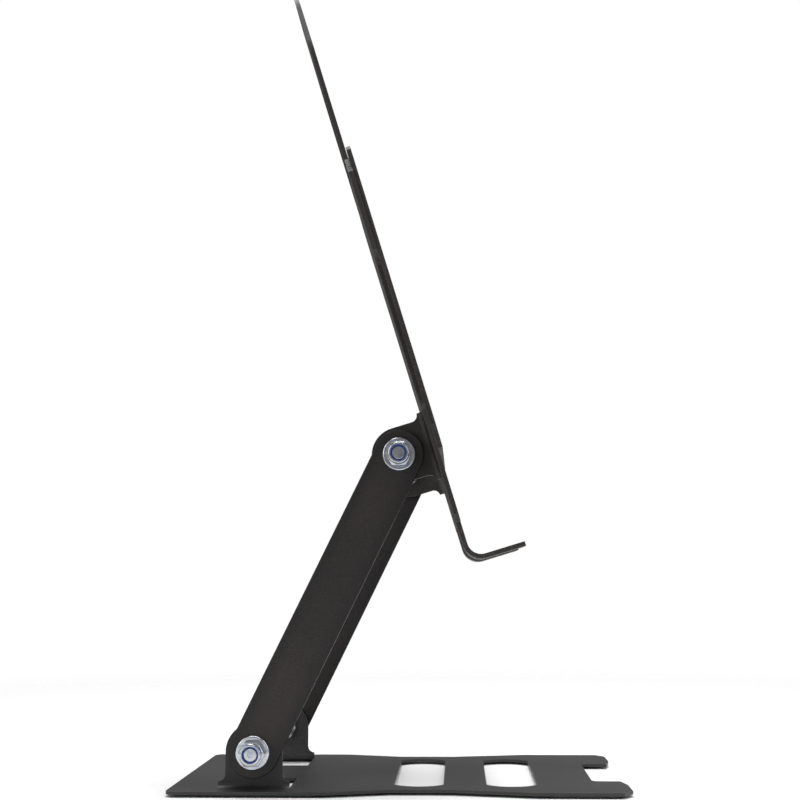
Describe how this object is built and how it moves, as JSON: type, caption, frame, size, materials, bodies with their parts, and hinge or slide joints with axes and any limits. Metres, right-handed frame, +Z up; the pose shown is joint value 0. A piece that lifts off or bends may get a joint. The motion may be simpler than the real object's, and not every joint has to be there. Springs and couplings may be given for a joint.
{
  "type": "folding music stand",
  "caption": "Tabletop sheet-steel music stand with a flat base, lifting arms and a lean-back tray with lips, on friction hinges",
  "frame": {"origin": "on the table surface, under the middle of the base plate", "axes": "+X towards the reader and the lips, +Y across the stand, +Z up"},
  "size_m": [0.192, 0.13, 0.3621],
  "materials": {
    "base_coat": "fine-textured black powder coat",
    "arm_coat": "fine-textured black powder coat",
    "tray_coat": "fine-textured black powder coat",
    "zinc": "bright blue-passivated zinc",
    "blue_nylon": "blue nylon",
    "black_nylon": "satin",
    "black_rubber": "matt",
    "black_rivet": "coated"
  },
  "bodies": {
    "base": {"base_plate": "base_coat", "foot_pad_front_left": "black_rubber", "foot_pad_front_right": "black_rubber", "foot_pad_rear_left": "black_rubber", "foot_pad_rear_right": "black_rubber", "bolt_lower_left": "zinc", "bolt_lower_right": "zinc", "locking_ring_lower_left": "blue_nylon", "locking_ring_lower_right": "blue_nylon", "nut_lower_left": "zinc", "nut_lower_right": "zinc", "washer_lower_left": "black_nylon", "washer_lower_right": "black_nylon"},
    "arms": {"arm_right": "arm_coat", "arm_left": "arm_coat"},
    "tray": {"tray_back": "tray_coat", "tray_panel": "tray_coat", "tray_rivets": "black_rivet", "bolt_upper_left": "zinc", "bolt_upper_right": "zinc", "locking_ring_upper_left": "blue_nylon", "locking_ring_upper_right": "blue_nylon", "nut_upper_left": "zinc", "nut_upper_right": "zinc", "washer_upper_left": "black_nylon", "washer_upper_right": "black_nylon"}
  },
  "joints": [
    {"name": "arm_swing", "type": "hinge", "parent": "base", "child": "arms", "pos_m": [-0.0608, 0, 0.0169], "axis": [0, 1, 0], "range_deg": [-20, 36]},
    {"name": "tray_tilt", "type": "hinge", "parent": "arms", "child": "tray", "pos_m": [0.0006, 0, 0.1413], "axis": [0, 1, 0], "range_deg": [-100, 36]}
  ]
}
